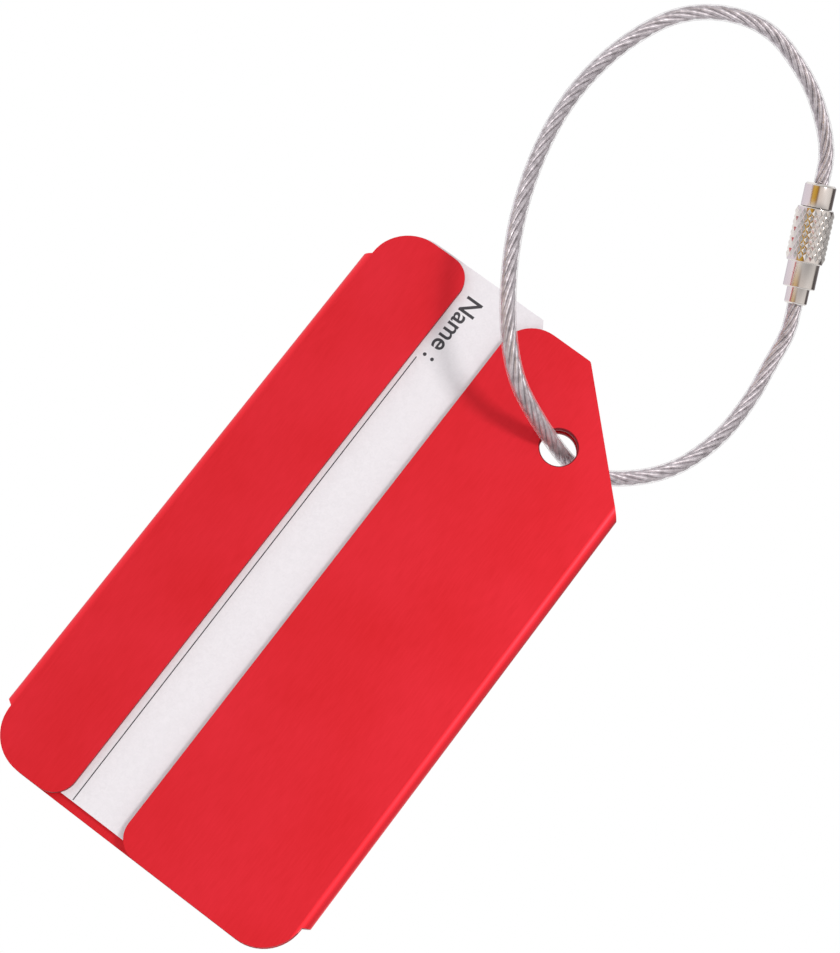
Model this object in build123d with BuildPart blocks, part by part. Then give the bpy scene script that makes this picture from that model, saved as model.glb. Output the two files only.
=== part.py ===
"""Luggage tag: a folded sheet-metal sleeve with a slide-in card, hung on a screw-lock wire loop.

Row frame: millimetres, +Z up, +Y through the tag from front to back, +X to the right seen from the
front. The origin is the place where the loop hangs on a hook or a handle: the inside of its top.
"""
import os
from math import cos, pi, radians, sin, tan

from build123d import *

os.makedirs("parts", exist_ok=True)

# ---------------------------------------------------------------- driving dimensions
# Sleeve: one sheet, folded left and right round a card. Its own axes run from the lower left corner.
tag_width = 44.3
tag_length = 80.0
sheet = 0.8
pocket_gap = 1.0
left_flap_width = 12.4
right_flap_start = 20.3
left_flap_rise = 0.6  # the narrow flap stands this much above the wide one
corner_radius = 5.4
corner_inset = 0.9  # the corners are cut in by this much from the folds' outer edges
fold_stop = 6.0  # each fold ends this far from the end of the sheet
fold_step = 0.5  # length of the slanting step where a fold ends
corner_cut = 14.0  # 45 degree cut at the hole's corner
corner_cut_round = 0.6
flap_lip_radius = 3.0
thumb_corner_radius = 4.5  # wide flap, beside the card's free end
hole_radius = 2.3
hole_across = 33.5
hole_along = 69.0
hole_edge_break = 0.15

# Card
card_thickness = 0.5
card_length = 80.0
card_side_play = 1.0  # from the sleeve's outer edge to the card's
card_rise = 1.1  # the card's end stands this much above the wide flap
card_corner_radius = 5.5
card_cut_start = 22.5  # where the slanting cut beside the hole starts, from the left
card_cut_angle = 58.0

# Hanging: the hole is above the tag's centre of mass when its long edges lean by this angle.
hang_lean = 22.0
hole_centre = Vector(27.5, 0, -52)

# Wire rope, over its clear coat
rope_radius = 1.0
crimp_depth = 6.0

# Screw lock. Heights are along its axis, from the swivel ferrule's outer end.
lock_foot = Vector(24.3, 13.0, -13.1)
lock_axis = Vector(-0.68, -0.37, 0.63).normalized()
running_fit = 0.05
ferrule_tail_radius = 1.45
ferrule_head_radius = 1.7
nut_foot = 2.1
nut_wall = 0.8
knurl_foot = 5.4
nut_mouth = 12.4
skirt_radius = 2.05
knurl_radius = 2.5
thread_radius = 2.0
thread_length = 5.0
collar_length = 3.1
edge_break = 0.25
tip_chamfer = 0.4
lock_length = nut_mouth + collar_length

# ---------------------------------------------------------------- planes
across = Vector(cos(radians(hang_lean)), 0, sin(radians(hang_lean)))
along = Vector(-sin(radians(hang_lean)), 0, cos(radians(hang_lean)))
tag_corner = hole_centre - across * hole_across - along * hole_along
tag_front = Plane(origin=tag_corner, x_dir=across, z_dir=(0, -1, 0))
tag_section = Plane(origin=tag_corner, x_dir=across, z_dir=along)
lock_side = Vector(0, 0, 1).cross(lock_axis).normalized()
lock_section = Plane(origin=lock_foot, x_dir=lock_side, z_dir=lock_side.cross(lock_axis))
lock_line = Axis(lock_foot, lock_axis)

# ---------------------------------------------------------------- sleeve
tag_thickness = 2 * sheet + pocket_gap
front_sheet_y = -(tag_thickness - sheet) / 2
sleeve_length = tag_length + left_flap_rise
window = right_flap_start - left_flap_width


def flap_corner(part, x, y):
    """The edge through the front sheet at one free corner of a flap."""
    wanted = tag_front.from_local_coords((x, y, -front_sheet_y))
    return part.edges().filter_by(Axis.Y).sort_by_distance(wanted)[0]


with BuildPart() as sleeve:
    # The folded section: a flat ring, open in front between the two flaps.
    with BuildSketch(tag_section):
        with Locations((tag_width / 2, 0)):
            SlotOverall(tag_width, tag_thickness)
            SlotOverall(tag_width - 2 * sheet, pocket_gap, mode=Mode.SUBTRACT)
        with Locations((left_flap_width + window / 2, front_sheet_y)):
            Rectangle(window, 2 * sheet, mode=Mode.SUBTRACT)
    extrude(amount=sleeve_length)
    # The wide flap and the sheet behind it end lower than the narrow flap.
    with BuildSketch(tag_front):
        with Locations((right_flap_start, tag_length)):
            Rectangle(tag_width, corner_radius, align=(Align.MIN, Align.MIN))
    extrude(amount=tag_thickness, both=True, mode=Mode.SUBTRACT)
    # The cut corner, and the rounded ones where the folds stop short, through all layers.
    with BuildSketch(tag_front) as outline:
        with BuildLine():
            Polyline(
                (corner_inset, 0),
                (tag_width - corner_inset, 0),
                (tag_width - corner_inset, fold_stop - fold_step),
                (tag_width, fold_stop),
                (tag_width, tag_length - corner_cut),
                (tag_width - corner_cut, tag_length),
                (right_flap_start, tag_length),
                (right_flap_start, sleeve_length),
                (corner_inset, sleeve_length),
                (corner_inset, sleeve_length - fold_stop + fold_step),
                (0, sleeve_length - fold_stop),
                (0, fold_stop),
                (corner_inset, fold_stop - fold_step),
                close=True,
            )
        make_face()
        lower_corners = outline.vertices().group_by(Axis.Y)[0]
        upper_left = outline.vertices().sort_by_distance((corner_inset, sleeve_length))[0]
        fillet([*lower_corners, upper_left], corner_radius)
        cut_end = outline.vertices().sort_by_distance((tag_width - corner_cut, tag_length))[0]
        fillet(cut_end, corner_cut_round)
    extrude(amount=tag_thickness, both=True, mode=Mode.INTERSECT)
    # Free corners of the two flaps.
    fillet(flap_corner(sleeve, left_flap_width, 0), flap_lip_radius)
    fillet(flap_corner(sleeve, left_flap_width, sleeve_length), flap_lip_radius)
    fillet(flap_corner(sleeve, right_flap_start, 0), flap_lip_radius)
    fillet(flap_corner(sleeve, right_flap_start, tag_length), thumb_corner_radius)
    # The hole for the loop.
    with Locations(Plane(origin=hole_centre, x_dir=across, z_dir=(0, -1, 0))):
        Hole(hole_radius)
    hole_rims = sleeve.edges().filter_by(GeomType.CIRCLE).filter_by(lambda rim: rim.radius == hole_radius)
    chamfer([hole_rims.sort_by(Axis.Y)[0], hole_rims.sort_by(Axis.Y)[-1]], hole_edge_break)


# ---------------------------------------------------------------- card
card_top = tag_length + card_rise
card_cut_drop = (tag_width - card_side_play - card_cut_start) * tan(radians(card_cut_angle))
with BuildPart() as card:
    with BuildSketch(tag_front) as card_outline:
        with BuildLine():
            Polyline(
                (card_side_play, card_top - card_length),
                (tag_width - card_side_play, card_top - card_length),
                (tag_width - card_side_play, card_top - card_cut_drop),
                (card_cut_start, card_top),
                (card_side_play, card_top),
                close=True,
            )
        make_face()
        left_corners = card_outline.vertices().group_by(Axis.X)[0]
        lower_right = card_outline.vertices().sort_by_distance((tag_width, 0))[0]
        fillet([*left_corners, lower_right], card_corner_radius)
    extrude(amount=card_thickness / 2, both=True)

# ---------------------------------------------------------------- screw lock
lock_head = lock_foot + lock_axis * lock_length
chamber_top = nut_mouth - thread_length


def half_section(*points):
    """The half section of a turned piece of the lock, from its (radius, height) points."""
    with BuildSketch(lock_section) as section:
        with BuildLine():
            Polyline(*points, close=True)
        make_face()
    return section.sketch


with BuildPart() as swivel_ferrule:
    neck = nut_foot + nut_wall + running_fit
    head_top = chamber_top - running_fit
    section = half_section(
        (rope_radius + running_fit, 0),
        (ferrule_tail_radius - edge_break, 0),
        (ferrule_tail_radius, edge_break),
        (ferrule_tail_radius, neck),
        (ferrule_head_radius, neck),
        (ferrule_head_radius, head_top - edge_break),
        (ferrule_head_radius - edge_break, head_top),
        (0, head_top),
        (0, crimp_depth),
        (rope_radius + running_fit, crimp_depth),
    )
    revolve(section, axis=lock_line)

with BuildPart() as knurled_nut:
    section = half_section(
        (ferrule_tail_radius + running_fit, nut_foot),
        (skirt_radius - edge_break / 2, nut_foot),
        (skirt_radius, nut_foot + edge_break / 2),
        (skirt_radius, knurl_foot),
        (knurl_radius - edge_break, knurl_foot),
        (knurl_radius, knurl_foot + edge_break),
        (knurl_radius, nut_mouth - edge_break),
        (knurl_radius - edge_break, nut_mouth),
        (thread_radius + running_fit, nut_mouth),
        (thread_radius + running_fit, chamber_top),
        (ferrule_head_radius + running_fit, chamber_top),
        (ferrule_head_radius + running_fit, nut_foot + nut_wall),
        (ferrule_tail_radius + running_fit, nut_foot + nut_wall),
    )
    revolve(section, axis=lock_line)

with BuildPart() as threaded_stud:
    section = half_section(
        (0, chamber_top),
        (thread_radius - tip_chamfer, chamber_top),
        (thread_radius, chamber_top + tip_chamfer),
        (thread_radius, lock_length - edge_break),
        (thread_radius - edge_break, lock_length),
        (rope_radius + running_fit, lock_length),
        (rope_radius + running_fit, lock_length - crimp_depth),
        (0, lock_length - crimp_depth),
    )
    revolve(section, axis=lock_line)

# ---------------------------------------------------------------- wire loop
# The route leaves the stud in line with the lock, goes over the top of the loop, down in front of
# the tag, through the hole and up behind it, and ends in the ferrule.
lead = 3.8  # straight out of each end of the lock
loop_bends = [
    lock_head + lock_axis * lead,
    Vector(7.4, 4.3, 0.5),
    Vector(2.4, 1.4, 1.0),
    Vector(-5.5, -3.0, -1.0),
    Vector(-11.5, -4.5, -8.8),
    Vector(-11.5, -5.5, -19.0),
    Vector(-7.5, -9.0, -30.0),
    Vector(-0.5, -11.5, -40.0),
    Vector(8.0, -13.0, -48.0),
    Vector(18.0, -11.0, -53.8),
    Vector(25.0, -5.0, -53.3),
    Vector(31.0, 7.0, -50.0),
    Vector(35.2, 10.5, -40.5),
    Vector(34.5, 13.5, -31.5),
    Vector(31.6, 15.6, -24.0),
    Vector(28.9, 15.4, -19.4),
    lock_foot - lock_axis * lead,
]
arc_share = 0.45  # of the shorter run, taken by the arc at each corner


def corner_radii(route):
    """The radius at each corner of a route, as large as its two runs allow."""
    radii = []
    for before, corner, after in zip(route, route[1:], route[2:]):
        run = min((corner - before).length, (after - corner).length)
        turn = (corner - before).get_angle(after - corner)
        radii.append(arc_share * run / tan(radians(turn) / 2))
    return radii


free_route = [lock_head, *loop_bends, lock_foot]
bend_radii = corner_radii(free_route)
crimp_reach = crimp_depth - running_fit
rope_route = [
    lock_head - lock_axis * crimp_reach,
    *loop_bends,
    lock_foot + lock_axis * crimp_reach,
]

with BuildPart() as coated_wire_rope:
    with BuildLine() as rope_path:
        FilletPolyline(*rope_route, radius=bend_radii)
    with BuildSketch(Plane(origin=rope_route[0], z_dir=lock_axis)):
        Circle(rope_radius)
    sweep()

# ---------------------------------------------------------------- checks and files
pieces = {
    "sleeve": sleeve,
    "card": card,
    "coated_wire_rope": coated_wire_rope,
    "swivel_ferrule": swivel_ferrule,
    "knurled_nut": knurled_nut,
    "threaded_stud": threaded_stud,
}
for name, piece in pieces.items():
    piece.part.label = name
    export_step(piece.part, f"parts/{name}.step")

rope_length = rope_path.wire().length
print("bend radii", [round(radius, 1) for radius in bend_radii])
print("rope between the lock's ends", round(rope_length - 2 * crimp_reach, 1))
print("rope volume", round(coated_wire_rope.part.volume, 2))
print("section times length", round(pi * rope_radius**2 * rope_length, 2))
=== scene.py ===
# %% [markdown]
# # A folded metal luggage tag on a wire loop
#
# The object is six pieces: a red anodised sleeve folded from one sheet, a white name card that
# slides into it, and a loop of coated wire rope that a knurled screw lock closes. The lock has a
# ferrule, a nut and a threaded stud.
#
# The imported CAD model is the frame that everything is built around. Nothing here moves or resizes
# it. Every piece is made where the CAD says it is, in metres, with its place in its own mesh.

# %% Load the frame
from math import cos, pi, radians, sin

import bmesh
import bpy
from mathutils import Matrix, Vector


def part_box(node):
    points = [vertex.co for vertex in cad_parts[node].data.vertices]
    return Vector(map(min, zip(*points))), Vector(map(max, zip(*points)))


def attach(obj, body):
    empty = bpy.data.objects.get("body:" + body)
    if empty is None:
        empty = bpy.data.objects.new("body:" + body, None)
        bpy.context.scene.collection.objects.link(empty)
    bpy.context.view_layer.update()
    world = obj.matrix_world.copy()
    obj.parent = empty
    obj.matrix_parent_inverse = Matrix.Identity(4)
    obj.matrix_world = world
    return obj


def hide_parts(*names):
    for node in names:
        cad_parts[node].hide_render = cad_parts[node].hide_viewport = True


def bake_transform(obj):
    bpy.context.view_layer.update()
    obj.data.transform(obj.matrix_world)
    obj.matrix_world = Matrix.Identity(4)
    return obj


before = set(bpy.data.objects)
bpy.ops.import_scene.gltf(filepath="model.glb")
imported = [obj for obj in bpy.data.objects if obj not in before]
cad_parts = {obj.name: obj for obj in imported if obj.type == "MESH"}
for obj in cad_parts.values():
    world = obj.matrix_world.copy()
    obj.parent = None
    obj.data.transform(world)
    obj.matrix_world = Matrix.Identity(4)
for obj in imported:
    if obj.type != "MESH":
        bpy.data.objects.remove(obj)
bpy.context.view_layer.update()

MM = 0.001
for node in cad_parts:
    low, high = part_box(node)
    print(node, "is", [round(side / MM, 1) for side in high - low], "mm")

# %% [markdown]
# ## The camera
#
# The tag hangs from the loop and leans, because its hole is in a corner. The camera is turned on
# its side, right-hand edge up, so that the tag lies across the view from the lower left to the
# upper right. A camera could be aimed with a Track To constraint, but that always keeps the camera
# level. Here its three directions are given and the matrix is built from them.

# %% The camera
scene = bpy.context.scene
hole = Vector((27.5, 0, -52)) * MM
picture_right = Vector((0.5177, -0.0214, 0.8553)).normalized()
towards_camera = Vector((0.1968, -0.9699, -0.1433)).normalized()
picture_up = towards_camera.cross(picture_right)
camera_place = Vector((80.5, -289.4, -110.7)) * MM

camera_data = bpy.data.cameras.new("camera")
camera_data.sensor_width = 36
camera_data.lens = 94.1
camera_data.clip_start = 10 * MM
camera = bpy.data.objects.new("camera", camera_data)
axes = Matrix((picture_right, picture_up, towards_camera)).transposed()
camera.matrix_world = Matrix.Translation(camera_place) @ axes.to_4x4()
scene.collection.objects.link(camera)
scene.camera = camera
print("the camera is", round((camera_place - hole).length / MM), "mm from the tag's hole")

# %% [markdown]
# ## Shaders, colours and scales
#
# Each material is a few nodes, so one small function adds a node with its settings and links.
# Colours are written as sRGB hex values, as a paint chart gives them, and one function turns them
# to the linear values that shaders work in. A noise texture's scale is how many features fit in a
# metre, so it is worked out from the size of one feature in millimetres.


# %% Helpers for materials and node trees
def add(tree, kind, inputs=None, **settings):
    """Adds a node. Inputs are set by name or number, to a value, a node or a node's output."""
    made = tree.nodes.new(kind)
    for name, value in settings.items():
        setattr(made, name, value)
    for key, value in (inputs or {}).items():
        if isinstance(value, bpy.types.Node):
            value = value.outputs[0]
        if isinstance(value, bpy.types.NodeSocket):
            tree.links.new(value, made.inputs[key])
        else:
            made.inputs[key].default_value = value
    return made


def linear(hex_colour):
    """An sRGB hex colour as linear red, green, blue and alpha."""
    channels = [int(hex_colour[i : i + 2], 16) / 255 for i in (1, 3, 5)]
    return [c / 12.92 if c <= 0.04045 else ((c + 0.055) / 1.055) ** 2.4 for c in channels] + [1]


def per_metre(size):
    """The noise scale that gives features of that size in millimetres."""
    return 1 / (size * MM)


def material(name, **sockets):
    """A new material with one Principled shader. Sockets are set by name, with _ for a space."""
    made = bpy.data.materials.new(name)
    made.use_nodes = True
    shader = made.node_tree.nodes["Principled BSDF"]
    for socket, value in sockets.items():
        shader.inputs[socket.replace("_", " ")].default_value = value
    return made, made.node_tree, shader


# %% [markdown]
# ## The studio
#
# Small metal goods are lit in a light tent: white cloth all round, and one lamp that is stronger
# than the rest. The tent could be built of white planes, but the world's own light does the same
# and casts no edges. It is white to the eye, and gets darker towards its opening, so that bright
# metal has something dark to mirror. A narrow belt of it, square to the lock, holds the warm and
# the dark strips that turned metal needs to look turned. The lamp is a square panel, up and to the
# right.

# %% The lock's place and directions
lock_foot = Vector((24.3, 13.0, -13.1)) * MM
lock_axis = Vector((-0.68, -0.37, 0.63)).normalized()
lock_length = 15.5 * MM
lock_head = lock_foot + lock_axis * lock_length
lock_middle = (lock_foot + lock_head) / 2

to_camera = (camera_place - lock_middle).normalized()
lock_front = (to_camera - lock_axis * to_camera.dot(lock_axis)).normalized()
lock_side = lock_front.cross(lock_axis)
if lock_side.dot(picture_right) < 0:
    lock_side = -lock_side
print("the lock is", round(lock_length / MM, 1), "mm long")

# %% The light tent
opening_side = Vector((0.528, -0.756, 0.387)).normalized()  # in front, up and to the right
opening_light = 0.27  # the share of the tent's light that is left there
tent_light = 1.1
belt_fade = (0.2, 0.4)  # the belt fades out between these cosines to the lock's axis
# The strips by their angle in degrees round the lock: 0 faces the camera, positive is to its right.
strips_round_lock = (
    (-180, "#B9B4BA"),
    (-130, "#EDE6F2"),
    (-62, "#F2EAF4"),
    (-52, "#B98A4E"),
    (-42, "#DDB453"),
    (-20, "#C99A35"),
    (-8, "#8A6230"),
    (2, "#E6DCD6"),
    (60, "#F7F3F0"),
    (98, "#E4E0DC"),
    (108, "#4A4444"),
    (140, "#6A6464"),
    (180, "#B9B4BA"),
)


def light_tent():
    """The world's light: a white tent with an opening, and a belt of strips round the lock."""
    world = bpy.data.worlds.new("light_tent")
    world.use_nodes = True
    tree = world.node_tree
    tree.nodes.clear()
    look = add(tree, "ShaderNodeTexCoord").outputs["Generated"]
    # How far each ray points along four directions.
    along = {}
    for label, direction in (
        ("opening", opening_side),
        ("side", lock_side),
        ("front", lock_front),
        ("axis", lock_axis),
    ):
        ray = {0: look, 1: direction}
        ray = add(tree, "ShaderNodeVectorMath", ray, operation="DOT_PRODUCT")
        along[label] = ray.outputs["Value"]
    opening = {"Value": along["opening"], "From Min": -0.2, "To Min": 1, "To Max": opening_light}
    opening = add(tree, "ShaderNodeMapRange", opening)
    turn = {0: along["side"], 1: along["front"]}
    turn = add(tree, "ShaderNodeMath", turn, operation="ARCTAN2")
    share = add(tree, "ShaderNodeMapRange", {"Value": turn, "From Min": -pi, "From Max": pi})
    strips = add(tree, "ShaderNodeValToRGB", {"Fac": share})
    ramp = strips.color_ramp.elements
    while len(ramp) > 1:
        ramp.remove(ramp[-1])
    ramp[0].position = 0
    ramp[0].color = linear(strips_round_lock[0][1])
    for angle, colour in strips_round_lock[1:]:
        ramp.new((angle + 180) / 360).color = linear(colour)
    off = add(tree, "ShaderNodeMath", {0: along["axis"]}, operation="ABSOLUTE")
    near, far = belt_fade
    belt = {"Value": off, "From Min": near, "From Max": far, "To Min": 1, "To Max": 0}
    belt = add(tree, "ShaderNodeMapRange", belt)
    white = {"Factor": opening, "A": linear("#000000"), "B": linear("#FFFFFF")}
    white = add(tree, "ShaderNodeMix", white, data_type="RGBA")
    tent = {"Factor": belt, "A": white.outputs["Result"], "B": strips}
    tent = add(tree, "ShaderNodeMix", tent, data_type="RGBA")
    lit = {"Color": tent.outputs["Result"], "Strength": tent_light}
    lit = add(tree, "ShaderNodeBackground", lit)
    seen = add(tree, "ShaderNodeBackground", {"Color": linear("#FFFFFF"), "Strength": 1.0})
    camera_ray = add(tree, "ShaderNodeLightPath").outputs["Is Camera Ray"]
    mix = add(tree, "ShaderNodeMixShader", {0: camera_ray, 1: lit, 2: seen})
    add(tree, "ShaderNodeOutputWorld", {"Surface": mix})
    scene.world = world


light_tent()
scene.view_settings.view_transform = "Standard"
print("the light tent has", len(strips_round_lock), "strip colours round the lock")

# %% The lamp
lamp_aim = Vector((10, 0, -70)) * MM
lamp_distance = 1200 * MM
towards_lamp = Vector((0.309, -0.841, 0.444)).normalized()
lamp_data = bpy.data.lights.new("panel_lamp", "AREA")
lamp_data.size = 200 * MM
lamp_data.energy = 5.6
lamp_data.color = linear("#FFFCFA")[:3]
lamp = bpy.data.objects.new("panel_lamp", lamp_data)
lamp.location = lamp_aim + towards_lamp * lamp_distance
lamp.rotation_mode = "QUATERNION"
lamp.rotation_quaternion = towards_lamp.to_track_quat("Z", "Y")
scene.collection.objects.link(lamp)
print("the lamp is", round(lamp_data.size / MM), "mm across,", round(lamp_distance / MM), "mm away")

# %% The floor
# Uncoated backdrop paper: pale and fully matt, so the eye sees no shine on it.
floor_drop = 300 * MM
floor_mesh = bpy.data.meshes.new("studio_floor")
round_floor = bmesh.new()
bmesh.ops.create_circle(round_floor, cap_ends=True, segments=96, radius=1.0)
bmesh.ops.translate(round_floor, verts=round_floor.verts, vec=(0, 0, -floor_drop))
round_floor.to_mesh(floor_mesh)
round_floor.free()
floor = bpy.data.objects.new("studio_floor", floor_mesh)
floor_paper, _, _ = material("white_backdrop_paper", Base_Color=linear("#F4F4F5"), Roughness=0.9)
floor_mesh.materials.append(floor_paper)
scene.collection.objects.link(floor)
floor.visible_glossy = False  # so the lock's lower side mirrors the tent's strips, not paper
print("the floor is", round(floor_drop / MM), "mm below the loop")

# %% [markdown]
# ## The wire loop's line
#
# The loop is coated wire rope, 154 mm between the ends of its lock. Wire rope is springy: it bulges
# where nothing holds it, and it leaves each end of the lock in line with it. The route is a list of
# points, and the line is a NURBS spline that has them as its control points, so it bends gently
# between them. Order and end points are set after the points are there, because a new spline falls
# back to straight runs otherwise. The points that everything on the rope follows are read from that
# spline.

# %% The loop's route
lead = 3.8 * MM  # how far the rope runs straight out of each end of the lock
crimped = 2.0 * MM  # how much of each end is crimped inside the lock
loop_route = [
    lock_head - lock_axis * crimped,
    lock_head,
    lock_head + lock_axis * lead,
    Vector((7.4, 4.3, 0.5)) * MM,
    Vector((2.4, 1.4, 1.0)) * MM,
    Vector((-5.5, -3.0, -1.0)) * MM,
    Vector((-11.5, -4.5, -8.8)) * MM,
    Vector((-11.5, -5.5, -19.0)) * MM,
    Vector((-7.5, -9.0, -30.0)) * MM,
    Vector((-0.5, -11.5, -40.0)) * MM,
    Vector((8.0, -13.0, -48.0)) * MM,
    Vector((18.0, -11.0, -53.8)) * MM,
    Vector((25.0, -5.0, -53.3)) * MM,
    Vector((31.0, 7.0, -50.0)) * MM,
    Vector((35.2, 10.5, -40.5)) * MM,
    Vector((34.5, 13.5, -31.5)) * MM,
    Vector((31.6, 15.6, -24.0)) * MM,
    Vector((28.9, 15.4, -19.4)) * MM,
    lock_foot - lock_axis * lead,
    lock_foot,
    lock_foot + lock_axis * crimped,
]
print("the route has", len(loop_route), "points")


# %% The wire loop's line
def mesh_of(thing, name):
    """A plain mesh of an object as it is evaluated, with its modifiers in it."""
    bpy.context.view_layer.update()
    evaluated = thing.evaluated_get(bpy.context.evaluated_depsgraph_get())
    mesh = bpy.data.meshes.new_from_object(evaluated)
    mesh.name = name
    return mesh


def spline_points(route):
    """The points along the NURBS spline whose control points are the route."""
    curve = bpy.data.curves.new("loop_line", "CURVE")
    curve.dimensions = "3D"
    curve.resolution_u = 24
    spline = curve.splines.new("NURBS")
    spline.points.add(len(route) - 1)
    for control, place in zip(spline.points, route):
        control.co = (*place, 1)
    spline.order_u = 3
    spline.use_endpoint_u = True
    holder = bpy.data.objects.new("loop_line", curve)
    scene.collection.objects.link(holder)
    mesh = mesh_of(holder, "loop_line")
    points = [vertex.co.copy() for vertex in mesh.vertices]
    bpy.data.objects.remove(holder)
    bpy.data.meshes.remove(mesh)
    return points


rope_line = spline_points(loop_route)
measured = sum((b - a).length for a, b in zip(rope_line, rope_line[1:]))
print(len(rope_line), "points on the rope's line,", round(measured / MM, 1), "mm long")

# %% [markdown]
# ## The clear coat
#
# The rope's coat is soft clear plastic, extruded over it. It rounds the strands off, and its sides
# look milky because the eye goes through more of it there. A bevelled curve would make the tube,
# but the coat also has to stretch when the lock opens, so it is a mesh: one ring of points for each
# point of the line, each ring turned as little as possible from the last one.

# %% Clear vinyl
# Plasticised vinyl, extruded: clear with a soft shine, and seen mostly by its milky edges.
clear_vinyl, tree, shader = material(
    "clear_extruded_vinyl", Base_Color=linear("#E9E4E8"), Roughness=0.34, IOR=1.53
)
edge = add(tree, "ShaderNodeLayerWeight", {"Blend": 0.32})
milky = add(
    tree,
    "ShaderNodeMapRange",
    {"Value": edge.outputs["Facing"], "From Min": 0.25, "To Min": 0.12, "To Max": 0.6},
)
tree.links.new(milky.outputs[0], shader.inputs["Alpha"])
print("made", clear_vinyl.name)


# %% The coat's tube
coat_radius = 1.0 * MM
coat_sides = 28


def show(name, mesh, *materials):
    """An object for a finished mesh, at the origin."""
    made = bpy.data.objects.new(name, mesh)
    scene.collection.objects.link(made)
    if materials:
        mesh.materials.clear()
        for one in materials:
            mesh.materials.append(one)
    return made


def frames_along(line):
    """A place, a normal and a binormal for each point of a line, turning as little as possible."""
    tangents = []
    for i in range(len(line)):
        tangents.append((line[min(i + 1, len(line) - 1)] - line[max(i - 1, 0)]).normalized())
    normal = tangents[0].orthogonal().normalized()
    frames = []
    for place, tangent in zip(line, tangents):
        normal = (normal - tangent * normal.dot(tangent)).normalized()
        frames.append((place, normal, tangent.cross(normal)))
    return frames


def tube(name, line, radius, sides):
    """A closed round tube along a line."""
    form = bmesh.new()
    rings = []
    for place, normal, binormal in frames_along(line):
        ring = []
        for k in range(sides):
            angle = 2 * pi * k / sides
            offset = normal * cos(angle) + binormal * sin(angle)
            ring.append(form.verts.new(place + offset * radius))
        rings.append(ring)
    for before, after in zip(rings, rings[1:]):
        for k in range(sides):
            form.faces.new((before[k], before[k - 1], after[k - 1], after[k]))
    form.faces.new(rings[0])
    form.faces.new(list(reversed(rings[-1])))
    bmesh.ops.recalc_face_normals(form, faces=form.faces)
    mesh = bpy.data.meshes.new(name)
    form.to_mesh(mesh)
    form.free()
    mesh.shade_smooth()
    return mesh


coat = show("rope_coat", tube("rope_coat", rope_line, coat_radius, coat_sides), clear_vinyl)
print("the coat has", len(coat.data.polygons), "faces")

# %% [markdown]
# ## The strands
#
# Under the coat six strands lie round a seventh, and each strand is seven wires twisted the other
# way. Modelling every wire as its own tube would take a million faces. A strand's outline with six
# lobes, swept along a helix and twisted as it goes, looks the same. Geometry Nodes do it: the line
# is copied six times, each copy is moved out to its place on the helix, and the lobed outline is
# swept along it. The seventh strand is hidden by the six, so it isn't made.

# %% Bright drawn steel
# Stainless wire, drawn and laid into rope: bright along each wire, and dark between the strands.
# The colour is a little brighter or duller at random, in streaks about 0.9 mm apart, as far apart
# as the wires' highlights: partly the wires' own tone, partly painted highlights.
wire_tone_and_glint = 0.9
drawn_steel, tree, shader = material("drawn_stainless_wire", Metallic=1.0, Roughness=0.5)
place = add(tree, "ShaderNodeTexCoord").outputs["Object"]
streaks = {"Vector": place, "Scale": per_metre(wire_tone_and_glint), "Detail": 3}
streaks = add(tree, "ShaderNodeTexNoise", streaks)
# Brighter and duller streaks: partly the wires' own tone, partly painted highlights.
shade = add(tree, "ShaderNodeValToRGB", {"Fac": streaks.outputs["Fac"]})
shade.color_ramp.elements[0].position = 0.35
shade.color_ramp.elements[0].color = linear("#ABA4A9")
shade.color_ramp.elements[1].position = 0.7
shade.color_ramp.elements[1].color = linear("#DED8DD")
tree.links.new(shade.outputs["Color"], shader.inputs["Base Color"])
print("made", drawn_steel.name)


# %% Helpers for geometry node trees
def new_tree(name, **sizes):
    """A geometry node tree with a Geometry input, named number inputs, and a Geometry output."""
    tree = bpy.data.node_groups.new(name, "GeometryNodeTree")
    tree.interface.new_socket("Geometry", in_out="INPUT", socket_type="NodeSocketGeometry")
    for label, value in sizes.items():
        kind = "NodeSocketInt" if isinstance(value, int) else "NodeSocketFloat"
        tree.interface.new_socket(label, in_out="INPUT", socket_type=kind).default_value = value
    tree.interface.new_socket("Geometry", in_out="OUTPUT", socket_type="NodeSocketGeometry")
    return tree, add(tree, "NodeGroupInput").outputs


def end_tree(tree, geometry, finish):
    """Ends a tree: its instances made real, and its material set."""
    real = add(tree, "GeometryNodeRealizeInstances", {"Geometry": geometry})
    dressed = add(tree, "GeometryNodeSetMaterial", {"Geometry": real, "Material": finish})
    add(tree, "NodeGroupOutput", {"Geometry": dressed})


def grow(name, base, tree, **sizes):
    """Runs a node tree on a mesh or a curve and gives the plain mesh that it makes."""
    holder = bpy.data.objects.new(name, base)
    scene.collection.objects.link(holder)
    modifier = holder.modifiers.new(tree.name, "NODES")
    modifier.node_group = tree
    for socket in tree.interface.items_tree:
        if socket.in_out == "INPUT" and socket.name in sizes:
            modifier[socket.identifier] = sizes[socket.name]
    mesh = mesh_of(holder, name)
    holder.modifiers.remove(modifier)
    bpy.data.objects.remove(holder)
    return mesh


# %% The strands' node tree
wire_valley = 0.93  # how deep the outline dips between two wires, as a share of the radius


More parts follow.
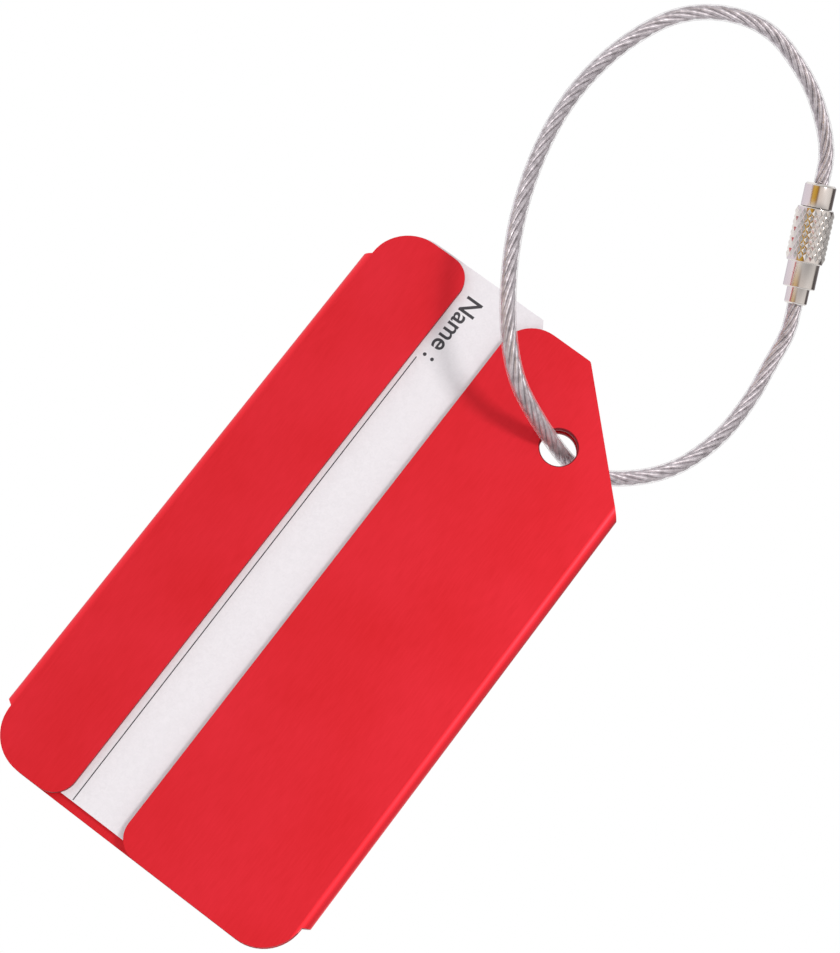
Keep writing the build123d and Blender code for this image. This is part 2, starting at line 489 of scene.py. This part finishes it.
def strand_tree():
    """Lobed strands, laid round the line that the tree is given."""
    tree, given = new_tree(
        "laid_strands", Strands=6, Circle=0.5, Radius=0.25, Lay=10.0, Wire_Lay=4.0, Step=0.3
    )
    even = {"Curve": given["Geometry"], "Length": given["Step"]}
    even = add(tree, "GeometryNodeResampleCurve", even, mode="LENGTH")
    copies = {"Geometry": even, "Amount": given["Strands"]}
    copies = add(tree, "GeometryNodeDuplicateElements", copies, domain="SPLINE")
    # The angle of each point round the rope: one turn in each lay, and a share for each strand.
    run = add(tree, "GeometryNodeSplineParameter").outputs["Length"]
    laid = add(tree, "ShaderNodeMath", {0: run, 1: given["Lay"]}, operation="DIVIDE")
    start = {0: copies.outputs["Duplicate Index"], 1: given["Strands"]}
    start = add(tree, "ShaderNodeMath", start, operation="DIVIDE")
    turns = add(tree, "ShaderNodeMath", {0: laid, 1: start}, operation="ADD")
    angle = add(tree, "ShaderNodeMath", {0: turns, 1: 2 * pi}, operation="MULTIPLY")
    # Each copy moves out from the line by that angle.
    normal = add(tree, "GeometryNodeInputNormal")
    tangent = add(tree, "GeometryNodeInputTangent")
    spin = {"Vector": normal, "Axis": tangent, "Angle": angle}
    spin = add(tree, "ShaderNodeVectorRotate", spin, rotation_type="AXIS_ANGLE")
    offset = {0: spin, "Scale": given["Circle"]}
    offset = add(tree, "ShaderNodeVectorMath", offset, operation="SCALE")
    moved = add(tree, "GeometryNodeSetPosition", {"Geometry": copies, "Offset": offset})
    # The wires in a strand twist the other way.
    wires = add(tree, "ShaderNodeMath", {0: run, 1: given["Wire_Lay"]}, operation="DIVIDE")
    twist = add(tree, "ShaderNodeMath", {0: wires, 1: -2 * pi}, operation="MULTIPLY")
    twisted = add(tree, "GeometryNodeSetCurveTilt", {"Curve": moved, "Tilt": twist})
    # The outline of seven wires: a circle with three points on each of the six outer ones.
    ring = add(tree, "GeometryNodeCurvePrimitiveCircle", {"Resolution": 18, "Radius": 1.0})
    index = add(tree, "GeometryNodeInputIndex")
    third = add(tree, "ShaderNodeMath", {0: index, 1: 3.0}, operation="MODULO")
    valley = add(tree, "ShaderNodeMath", {0: third, 1: 0.5}, operation="LESS_THAN")
    shrink = {"Value": valley, "To Min": 1.0, "To Max": wire_valley}
    share = add(tree, "ShaderNodeMapRange", shrink)
    size = {0: share, 1: given["Radius"]}
    size = add(tree, "ShaderNodeMath", size, operation="MULTIPLY")
    place = {0: add(tree, "GeometryNodeInputPosition"), "Scale": size}
    place = add(tree, "ShaderNodeVectorMath", place, operation="SCALE")
    lobed = add(tree, "GeometryNodeSetPosition", {"Geometry": ring, "Position": place})
    swept = {"Curve": twisted, "Profile Curve": lobed, "Fill Caps": True}
    swept = add(tree, "GeometryNodeCurveToMesh", swept)
    end_tree(tree, swept, drawn_steel)
    return tree


# %% The strands
strand_circle = 0.57 * MM  # from the rope's middle to each strand's middle
strand_radius = 0.285 * MM
strand_lay = 12 * MM  # the rope's length in which a strand goes once round
wire_lay = 4.5 * MM
strand_step = 0.3 * MM


def poly_curve(name, points):
    """A curve of straight runs through points, for a node tree to work on."""
    curve = bpy.data.curves.new(name, "CURVE")
    curve.dimensions = "3D"
    spline = curve.splines.new("POLY")
    spline.points.add(len(points) - 1)
    for control, place in zip(spline.points, points):
        control.co = (*place, 1)
    return curve


strands_mesh = grow(
    "wire_strands",
    poly_curve("strand_line", rope_line),
    strand_tree(),
    Circle=strand_circle,
    Radius=strand_radius,
    Lay=strand_lay,
    Wire_Lay=wire_lay,
    Step=strand_step,
)
strands_mesh.shade_smooth()
strands = show("wire_strands", strands_mesh)
print("the strands have", len(strands_mesh.polygons), "faces")

# %% [markdown]
# ### The rope, fixed in place
#
# When the nut is unscrewed, the stud leaves the lock and takes its end of the rope with it. A rigid
# loop would tear there. Here the coat and the strands are only fixed where they were made, and the
# CAD rope is hidden.

# %% The rope is fixed in place
for piece in (coat, strands):
    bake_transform(piece)
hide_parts("coated_wire_rope")

# %% [markdown]
# ## The sleeve
#
# One sheet of aluminium, 0.8 mm thick, is folded left and right round the card, then anodised and
# dyed red. The folds stop short of the sheet's ends, and a slanting step leads from each to the
# rounded corner. The CAD solid already has that shape. What it lacks is the soft edge that tumbling
# gives a sheared sheet, because a real edge always catches a thin line of light. So the solid's
# loose triangles are joined, its flat faces are made whole, and a Bevel modifier breaks its edges.

# %% The tag's directions
lean = radians(22)
tag_x = Vector((cos(lean), 0, sin(lean)))
tag_z = Vector((-sin(lean), 0, cos(lean)))
tag_width = 44.3 * MM
hole_from_side = 33.5 * MM
hole_from_end = 69.0 * MM
tag_corner = hole - tag_x * hole_from_side - tag_z * hole_from_end
print("the tag's lower left corner is at", [round(c / MM, 1) for c in tag_corner], "mm")


# %% A CAD node's mesh with soft edges
def softened(name, base, edge, sharp=50):
    """A form's mesh with the edges sharper than that many degrees rounded over by a width."""
    base.shade_smooth()
    holder = bpy.data.objects.new(name, base)
    scene.collection.objects.link(holder)
    bevel = holder.modifiers.new("broken_edge", "BEVEL")
    bevel.width = edge
    bevel.segments = 2
    bevel.limit_method = "ANGLE"
    bevel.angle_limit = radians(sharp)
    bevel.use_clamp_overlap = True
    # Large faces decide the shading, so flat faces stay flat up to their rounded edges.
    shading = holder.modifiers.new("large_faces_first", "WEIGHTED_NORMAL")
    shading.weight = 100
    mesh = mesh_of(holder, name)
    holder.modifiers.clear()
    bpy.data.objects.remove(holder)
    return mesh


same_place = 0.002 * MM


def merged_copy(node):
    """A copy of a CAD node's mesh, its loose triangles joined and its flat faces made whole."""
    form = bmesh.new()
    form.from_mesh(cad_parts[node].data)
    bmesh.ops.remove_doubles(form, verts=form.verts, dist=same_place)
    same_plane = radians(0.3)
    bmesh.ops.dissolve_limit(form, angle_limit=same_plane, verts=form.verts, edges=form.edges)
    mesh = bpy.data.meshes.new(node + "_whole")
    form.to_mesh(mesh)
    form.free()
    return mesh


tumbled_edge = 0.13 * MM
sleeve_mesh = softened("folded_sleeve", merged_copy("sleeve"), tumbled_edge)
print("the sleeve has", len(sleeve_mesh.polygons), "faces")

# %% [markdown]
# ### Red anodised aluminium
#
# Anodising turns the metal's own surface into a clear, hard layer that holds a dye. The eye gets
# coloured metal: reflections take the dye's red, and they are soft, because the sheet was etched
# matt first. The rolled sheet's grain runs along it. Where the sheet was sheared, the cut face is
# rougher and takes more dye, so it is darker. Its colour is darker still than that, as painted
# shade: the thin dark line that each edge of the sheet shows.

# %% Red anodised aluminium
grain_length = 2.4
grain_width = 0.22  # a real grain line is about 0.03 mm, too fine to show
dye_cloud = 14
dye_grain = 0.35  # how much of the colour's variation is grain, and not cloud


def anodised(name, dark, bright, roughness, metallic, depth):
    """Dyed, anodised aluminium with a rolled grain along the sheet."""
    made, tree, shader = material(name, Metallic=metallic, Roughness=roughness)
    place = add(tree, "ShaderNodeTexCoord").outputs["Object"]
    upright = {"Vector": place, "Rotation": (0, lean, 0)}
    upright = add(tree, "ShaderNodeMapping", upright, vector_type="POINT")
    stretch = {"Vector": upright, "Scale": (1, 1, grain_width / grain_length)}
    stretch = add(tree, "ShaderNodeMapping", stretch)
    grain = {"Vector": stretch, "Scale": per_metre(grain_width), "Detail": 2.0}
    grain = add(tree, "ShaderNodeTexNoise", grain)
    cloudy = {"Vector": place, "Scale": per_metre(dye_cloud), "Detail": 2.0}
    cloudy = add(tree, "ShaderNodeTexNoise", cloudy)
    both = {"Factor": dye_grain, "A": cloudy, "B": grain}
    both = add(tree, "ShaderNodeMix", both, data_type="FLOAT")
    dye = add(tree, "ShaderNodeValToRGB", {"Fac": both})
    dye.color_ramp.elements[0].position = 0.3
    dye.color_ramp.elements[0].color = linear(dark)
    dye.color_ramp.elements[1].position = 0.7
    dye.color_ramp.elements[1].color = linear(bright)
    tree.links.new(dye.outputs["Color"], shader.inputs["Base Color"])
    rough = {"Value": grain, "To Min": roughness - 0.05, "To Max": roughness + 0.05}
    rough = add(tree, "ShaderNodeMapRange", rough)
    tree.links.new(rough.outputs[0], shader.inputs["Roughness"])
    bump = {"Strength": 0.25, "Distance": depth, "Height": grain}
    bump = add(tree, "ShaderNodeBump", bump)
    tree.links.new(bump.outputs[0], shader.inputs["Normal"])
    return made


red_face = anodised("red_anodised_aluminium", "#E8252F", "#F12E3D", 0.43, 0.76, 0.004 * MM)
# The edge colour is the cut's own darker dye with painted shade on top of it.
red_edge = anodised("red_sheared_edge_and_painted_shade", "#7E0C1A", "#A81425", 0.6, 0.4, 0.02 * MM)
print("made", red_face.name, "and", red_edge.name)

# %% The sleeve
sleeve = show("folded_sleeve", sleeve_mesh, red_face, red_edge)
fold_reach = 1.35 * MM  # how far a fold's curve reaches in from the tag's side
cut_faces = 0
# Cut faces and the rounded faces of the broken edges take the edge colour: painted shade along
# every edge, over the cut's darker dye.
for face in sleeve_mesh.polygons:
    x = (face.center - tag_corner).dot(tag_x)
    between_folds = fold_reach < x < tag_width - fold_reach
    slanting = abs(face.normal.dot(tag_z)) > 0.1
    if abs(face.normal.y) < 0.95 and (slanting or between_folds):
        face.material_index = 1
        cut_faces += 1
print(cut_faces, "faces are sheared edges")
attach(sleeve, "tag")
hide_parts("sleeve")

# %% [markdown]
# ## The name card
#
# A card of thick white stock, die cut with round corners and one slanting side that clears the
# hole. The print on it is a thin film of ink. A print could be drawn in the material, but a text
# object gives crisp letters, so the ink is a mesh that stands a hundredth of a millimetre proud.

# %% White card stock
# Bleached pulp board, lightly calendered: matt and a little fibrous. Its faint glow stands in for
# its brightener and is painted light, which lifts the card's shadows.
fibre_clump = 0.5  # a single fibre is about 0.03 mm wide, too fine to show
# The emission is painted light: a glow that lifts the card's shadows.
card_stock, tree, shader = material(
    "white_card_stock", Roughness=0.72, Emission_Strength=0.13, Emission_Color=linear("#F6F4FA")
)
shader.inputs["Specular IOR Level"].default_value = 0.3
place = add(tree, "ShaderNodeTexCoord").outputs["Object"]
fibres = {"Vector": place, "Scale": per_metre(fibre_clump), "Detail": 4.0, "Distortion": 1.2}
fibres = add(tree, "ShaderNodeTexNoise", fibres)
pulp = add(tree, "ShaderNodeValToRGB", {"Fac": fibres})
pulp.color_ramp.elements[0].position = 0.3
pulp.color_ramp.elements[0].color = linear("#D6D3D7")
pulp.color_ramp.elements[1].position = 0.7
pulp.color_ramp.elements[1].color = linear("#DDDADE")
tree.links.new(pulp.outputs["Color"], shader.inputs["Base Color"])
press = {"Strength": 0.2, "Distance": 0.01 * MM, "Height": fibres}
press = add(tree, "ShaderNodeBump", press)
tree.links.new(press.outputs[0], shader.inputs["Normal"])
print("made", card_stock.name)

# %% The name card
pressed_edge = 0.05 * MM
card = show("name_card", softened("name_card", merged_copy("card"), pressed_edge), card_stock)
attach(card, "card")
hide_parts("card")
print("the card has", len(card.data.polygons), "faces")

# %% Black printing ink
# Offset ink, a thin matt film. It soaks in a little unevenly, in spots of about 0.3 mm.
soaked_spot = 0.3
ink, tree, shader = material("black_offset_ink", Roughness=0.55)
place = add(tree, "ShaderNodeTexCoord").outputs["Object"]
soaked = add(tree, "ShaderNodeTexNoise", {"Vector": place, "Scale": per_metre(soaked_spot)})
tone = add(tree, "ShaderNodeValToRGB", {"Fac": soaked})
tone.color_ramp.elements[0].color = linear("#2E2C32")
tone.color_ramp.elements[1].color = linear("#45434A")
tree.links.new(tone.outputs["Color"], shader.inputs["Base Color"])
print("made", ink.name)

# %% Where the print goes
# Places are from the tag's lower left corner, in millimetres. The words read down the tag.
card_front = -0.25 * MM
ink_height = 0.01 * MM
words_at = (13.4, 78.07)
line_from = (12.95, 68.05)
line_to = (13.36, 1.25)
print_places = Matrix.Identity(4)
for column, direction in enumerate((-tag_z, tag_x, Vector((0, -1, 0)))):
    print_places.col[column][:3] = direction


def on_card(x, z):
    """A place at half the ink's height."""
    ink_middle = Vector((0, card_front - ink_height / 2, 0))
    return tag_corner + tag_x * x * MM + tag_z * z * MM + ink_middle


print("the words begin at", [round(c / MM, 1) for c in on_card(*words_at)], "mm")

# %% The words
capital_height = 2.2 * MM
wider = 1.04
bolder = 0.012


def flat_letters(words, cap_height, width_share):
    """A mesh of flat words with their lower left corner at the origin, reading along X."""
    curve = bpy.data.curves.new("printed_words", "FONT")
    curve.body = words
    curve.extrude = ink_height / 2
    curve.offset = bolder
    curve.resolution_u = 6
    holder = bpy.data.objects.new("printed_words", curve)
    scene.collection.objects.link(holder)
    mesh = mesh_of(holder, "printed_words")
    bpy.data.objects.remove(holder)
    first = min(vertex.co.x for vertex in mesh.vertices)
    tallest = max(vertex.co.y for vertex in mesh.vertices)
    size = cap_height / tallest
    for vertex in mesh.vertices:
        x, y, z = vertex.co
        vertex.co = ((x - first) * size * width_share, y * size, z)
    return mesh


letters = flat_letters("Name :", capital_height, wider)
letters.transform(Matrix.Translation(on_card(*words_at)) @ print_places)
print("the words have", len(letters.polygons), "faces")

# %% The printed line
line_half = 0.065 * MM
line_start = on_card(*line_from)
line_end = on_card(*line_to)
form = bmesh.new()
form.from_mesh(letters)
run = (line_end - line_start).normalized()
side = run.cross(Vector((0, 1, 0)))
corners = []
for height in (-ink_height / 2, ink_height / 2):
    for end, sign in ((line_start, -1), (line_start, 1), (line_end, 1), (line_end, -1)):
        corners.append(form.verts.new(end + side * line_half * sign + Vector((0, height, 0))))
bottom, top = corners[:4], corners[4:]
form.faces.new(bottom)
form.faces.new(top[::-1])
for k in range(4):
    form.faces.new((bottom[k - 1], top[k - 1], top[k], bottom[k]))
bmesh.ops.remove_doubles(form, verts=form.verts, dist=0.0005 * MM)
bmesh.ops.recalc_face_normals(form, faces=form.faces)
form.to_mesh(letters)
form.free()
card_print = show("card_print", letters, ink)
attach(card_print, "card")
print("the print has", len(letters.polygons), "faces")

# %% [markdown]
# ## The screw lock
#
# Three turned pieces, nickel plated. The rope's two ends are crimped into the ferrule and the stud.
# The nut is captive on the ferrule and screws onto the stud. A lathe gives each one the same half
# section all the way round, and so does the code: a half section is a list of radius and height in
# millimetres, spun round Z. Bevels then break the edges, as the turner does with a file.

# %% Bright nickel plate
# Nickel, electroplated on turned brass: a warm white mirror with the lathe's fine rings under it,
# and dulled in places by fingers.
finger_mark = 2.5
lathe_ring = 0.12  # real ones are about 0.05 mm apart, too fine to show
bright_nickel, tree, shader = material(
    "bright_nickel_plate", Base_Color=linear("#DAD4D0"), Metallic=1.0, Roughness=0.15
)
place = add(tree, "ShaderNodeTexCoord").outputs["Object"]
smudge = {"Vector": place, "Scale": per_metre(finger_mark), "Detail": 3.0}
smudge = add(tree, "ShaderNodeTexNoise", smudge)
gloss = {"Value": smudge, "To Min": 0.1, "To Max": 0.22}
gloss = add(tree, "ShaderNodeMapRange", gloss)
tree.links.new(gloss.outputs[0], shader.inputs["Roughness"])
centred = {"Vector": place, "Location": -lock_foot}
centred = add(tree, "ShaderNodeMapping", centred, vector_type="POINT")
height = add(tree, "ShaderNodeVectorMath", {0: centred, 1: lock_axis}, operation="DOT_PRODUCT")
ring_place = add(tree, "ShaderNodeCombineXYZ", {"Z": height.outputs["Value"]})
rings = {"Vector": ring_place, "Scale": per_metre(lathe_ring), "Detail": 2.0}
rings = add(tree, "ShaderNodeTexNoise", rings)
turning = {"Strength": 0.15, "Distance": 0.003 * MM, "Height": rings}
turning = add(tree, "ShaderNodeBump", turning)
tree.links.new(turning.outputs[0], shader.inputs["Normal"])
print("made", bright_nickel.name)

# %% A lathe
filed_edge = 0.05 * MM
lock_places = Matrix.Translation(lock_foot)
for column, direction in enumerate((lock_side, lock_axis.cross(lock_side), lock_axis)):
    lock_places.col[column][:3] = direction


def turned(name, *outline, sides=96):
    """The mesh of a closed half section, spun round Z and its edges filed. Radius 0 is a pole."""
    form = bmesh.new()
    rings = []
    for radius, height in outline:
        ring = []
        for k in range(sides if radius else 1):
            angle = 2 * pi * k / sides
            place = Vector((radius * cos(angle), radius * sin(angle), height))
            ring.append(form.verts.new(place * MM))
        rings.append(ring)
    for ring, after in zip(rings, rings[1:] + rings[:1]):
        if len(ring) == 1 and len(after) == 1:
            continue
        for k in range(sides):
            if len(ring) == 1:
                corners = [ring[0], after[k], after[k - 1]]
            elif len(after) == 1:
                corners = [ring[k - 1], ring[k], after[0]]
            else:
                corners = [ring[k - 1], ring[k], after[k], after[k - 1]]
            form.faces.new(corners)
    bmesh.ops.recalc_face_normals(form, faces=form.faces)
    blank = bpy.data.meshes.new(name + "_unfiled")
    form.to_mesh(blank)
    form.free()
    return softened(name, blank, filed_edge, sharp=30)


print("the lathe's Z is the lock's axis,", [round(c, 2) for c in lock_axis])


# %% The swivel ferrule
rope_bore = 1.05  # the coated rope's radius and 0.05 mm of air
ferrule_mesh = turned(
    "swivel_ferrule_turned",
    (rope_bore, 0),
    (1.25, 0),
    (1.45, 0.2),
    (1.45, 2.95),
    (1.7, 2.95),
    (1.7, 7.15),
    (1.5, 7.35),
    (0, 7.35),
    (0, 6.0),
    (rope_bore, 6.0),
)
ferrule_mesh.transform(lock_places)
ferrule = show("swivel_ferrule_turned", ferrule_mesh, bright_nickel)
print("the ferrule has", len(ferrule_mesh.polygons), "faces")

# %% [markdown]
# ### The knurl
#
# A knurling wheel presses crossed grooves into the nut and leaves rows of diamonds, so that fingers
# can grip it. Cutting the grooves with booleans is slow and makes poor faces. The diamonds are the
# same shape over and over, which Geometry Nodes do well: a point for each, rows that are half a
# diamond apart, and a four-sided blunt cone on each point, turned to face out.

# %% The knurl's node tree
blunt_tip = 0.16  # a diamond's flat top, as a share of its base


def knurl_tree():
    """Rows of diamonds round Z, joined to the geometry that the tree is given."""
    tree, given = new_tree(
        "diamond_knurl", Around=20, Rows=9, Radius=1.0, Start=0.0, Length=1.0, Height=0.1
    )
    count = {0: given["Around"], 1: given["Rows"]}
    count = add(tree, "ShaderNodeMath", count, operation="MULTIPLY")
    points = add(tree, "GeometryNodePoints", {"Count": count})
    index = add(tree, "GeometryNodeInputIndex")
    share = add(tree, "ShaderNodeMath", {0: index, 1: given["Around"]}, operation="DIVIDE")
    row = add(tree, "ShaderNodeMath", {0: share}, operation="FLOOR")
    # Every second row is turned by half a diamond.
    half_row = add(tree, "ShaderNodeMath", {0: row, 1: 0.5}, operation="MULTIPLY")
    half = {0: half_row, 1: given["Around"]}
    half = add(tree, "ShaderNodeMath", half, operation="DIVIDE")
    turns = add(tree, "ShaderNodeMath", {0: share, 1: half}, operation="ADD")
    angle = add(tree, "ShaderNodeMath", {0: turns, 1: 2 * pi}, operation="MULTIPLY")
    up = add(tree, "ShaderNodeMath", {0: half_row, 1: given["Length"]}, operation="MULTIPLY")
    up = add(tree, "ShaderNodeMath", {0: up, 1: given["Start"]}, operation="ADD")
    out = add(tree, "ShaderNodeCombineXYZ", {"X": given["Radius"], "Z": up})
    place = {"Vector": out, "Angle": angle}
    place = add(tree, "ShaderNodeVectorRotate", place, rotation_type="Z_AXIS")
    placed = add(tree, "GeometryNodeSetPosition", {"Geometry": points, "Position": place})
    # A cone stands on its base with its tip up Z: it is laid over to face out, then turned.
    facing = add(tree, "ShaderNodeCombineXYZ", {"Y": pi / 2, "Z": angle})
    ring_length = add(tree, "ShaderNodeMath", {0: given["Radius"], 1: pi}, operation="MULTIPLY")
    half_width = {0: ring_length, 1: given["Around"]}
    half_width = add(tree, "ShaderNodeMath", half_width, operation="DIVIDE")
    half_length = add(tree, "ShaderNodeMath", {0: given["Length"], 1: 0.5}, operation="MULTIPLY")
    size = {"X": half_length, "Y": half_width, "Z": given["Height"]}
    size = add(tree, "ShaderNodeCombineXYZ", size)
    cone = {"Vertices": 4, "Radius Top": blunt_tip, "Radius Bottom": 1.0, "Depth": 1.0}
    cone = add(tree, "GeometryNodeMeshCone", cone, fill_type="NGON")
    many = {"Points": placed, "Instance": cone, "Rotation": facing, "Scale": size}
    many = add(tree, "GeometryNodeInstanceOnPoints", many)
    joined = add(tree, "GeometryNodeJoinGeometry", {"Geometry": given["Geometry"]})
    tree.links.new(many.outputs[0], joined.inputs[0])
    end_tree(tree, joined, bright_nickel)
    return tree


# %% The knurled nut
diamonds_around = 20
diamond_rows = 9
diamond_length = 1.36 * MM
diamond_height = 0.24 * MM
knurl_start = 6.22 * MM
knurl_root = 2.3 * MM
knurl_sink = 0.04 * MM  # the diamonds' bases lie a little under the nut's face

nut_body = turned(
    "nut_body",
    (1.5, 2.1),
    (1.93, 2.1),
    (2.05, 2.22),
    (2.05, 5.4),
    (2.2, 5.4),
    (2.3, 5.5),
    (2.3, 12.3),
    (2.2, 12.4),
    (2.05, 12.4),
    (2.05, 7.4),
    (1.75, 7.4),
    (1.75, 2.9),
    (1.5, 2.9),
)
nut_mesh = grow(
    "knurled_nut_turned",
    nut_body,
    knurl_tree(),
    Around=diamonds_around,
    Rows=diamond_rows,
    Radius=knurl_root - knurl_sink,
    Start=knurl_start,
    Length=diamond_length,
    Height=diamond_height,
)
nut_mesh.transform(lock_places)
nut = show("knurled_nut_turned", nut_mesh)
print("the nut has", len(nut_mesh.polygons), "faces")

# %% [markdown]
# ### The thread
#
# The stud's thread shows when the lock is open. A screw thread is one ridge that winds round a
# core, so the node tree sweeps a small diamond outline along a spiral. The pitch is 0.5 mm, and the
# thread is right handed: the ridge climbs anticlockwise, seen from its end.


# %% The thread's node tree
def thread_tree():
    """One ridge that winds up Z, joined to the geometry that the tree is given."""
    tree, given = new_tree("screw_thread", Turns=9.0, Radius=1.0, Pitch=0.5, Start=0.0, Ridge=0.1)
    height = {0: given["Turns"], 1: given["Pitch"]}
    height = add(tree, "ShaderNodeMath", height, operation="MULTIPLY")
    spiral = {
        "Resolution": 40,
        "Rotations": given["Turns"],
        "Start Radius": given["Radius"],
        "End Radius": given["Radius"],
        "Height": height,
    }
    spiral = add(tree, "GeometryNodeCurveSpiral", spiral)
    shift = add(tree, "ShaderNodeCombineXYZ", {"Z": given["Start"]})
    lifted = add(tree, "GeometryNodeSetPosition", {"Geometry": spiral, "Offset": shift})
    level = add(tree, "GeometryNodeSetCurveNormal", {"Curve": lifted}, mode="Z_UP")
    outline = {"Resolution": 4, "Radius": given["Ridge"]}
    outline = add(tree, "GeometryNodeCurvePrimitiveCircle", outline)
    ridge = {"Curve": level, "Profile Curve": outline, "Fill Caps": True}
    ridge = add(tree, "GeometryNodeCurveToMesh", ridge)
    joined = add(tree, "GeometryNodeJoinGeometry", {"Geometry": given["Geometry"]})
    tree.links.new(ridge.outputs[0], joined.inputs[0])
    end_tree(tree, joined, bright_nickel)
    return tree


# %% The threaded stud
thread_turns = 8.6
thread_pitch = 0.5 * MM
thread_core = 1.72 * MM
thread_start = 7.8 * MM
thread_ridge = 0.25 * MM

stud_body = turned(
    "stud_body",
    (0, 7.4),
    (1.4, 7.4),
    (1.72, 7.72),
    (1.72, 12.45),
    (2.0, 12.45),
    (2.0, 15.25),
    (1.75, 15.5),
    (rope_bore, 15.5),
    (rope_bore, 9.5),
    (0, 9.5),
)
stud_mesh = grow(
    "threaded_stud_turned",
    stud_body,
    thread_tree(),
    Turns=thread_turns,
    Radius=thread_core,
    Pitch=thread_pitch,
    Start=thread_start,
    Ridge=thread_ridge,
)
stud_mesh.transform(lock_places)
stud = show("threaded_stud_turned", stud_mesh)
print("the stud has", len(stud_mesh.polygons), "faces")

# %% [markdown]
# ### A lock that opens
#
# The ferrule stays with the loop, the nut turns on it, and the stud is drawn out as the nut turns.
# So each piece rides on its own body, and it stands for the plain CAD solid of the same name.

# %% The lock moves with its bodies
for piece, body, node in (
    (ferrule, "loop", "swivel_ferrule"),
    (nut, "nut", "knurled_nut"),
    (stud, "stud", "threaded_stud"),
):
    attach(piece, body)
    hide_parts(node)
    print(piece.name, "rides on", body)
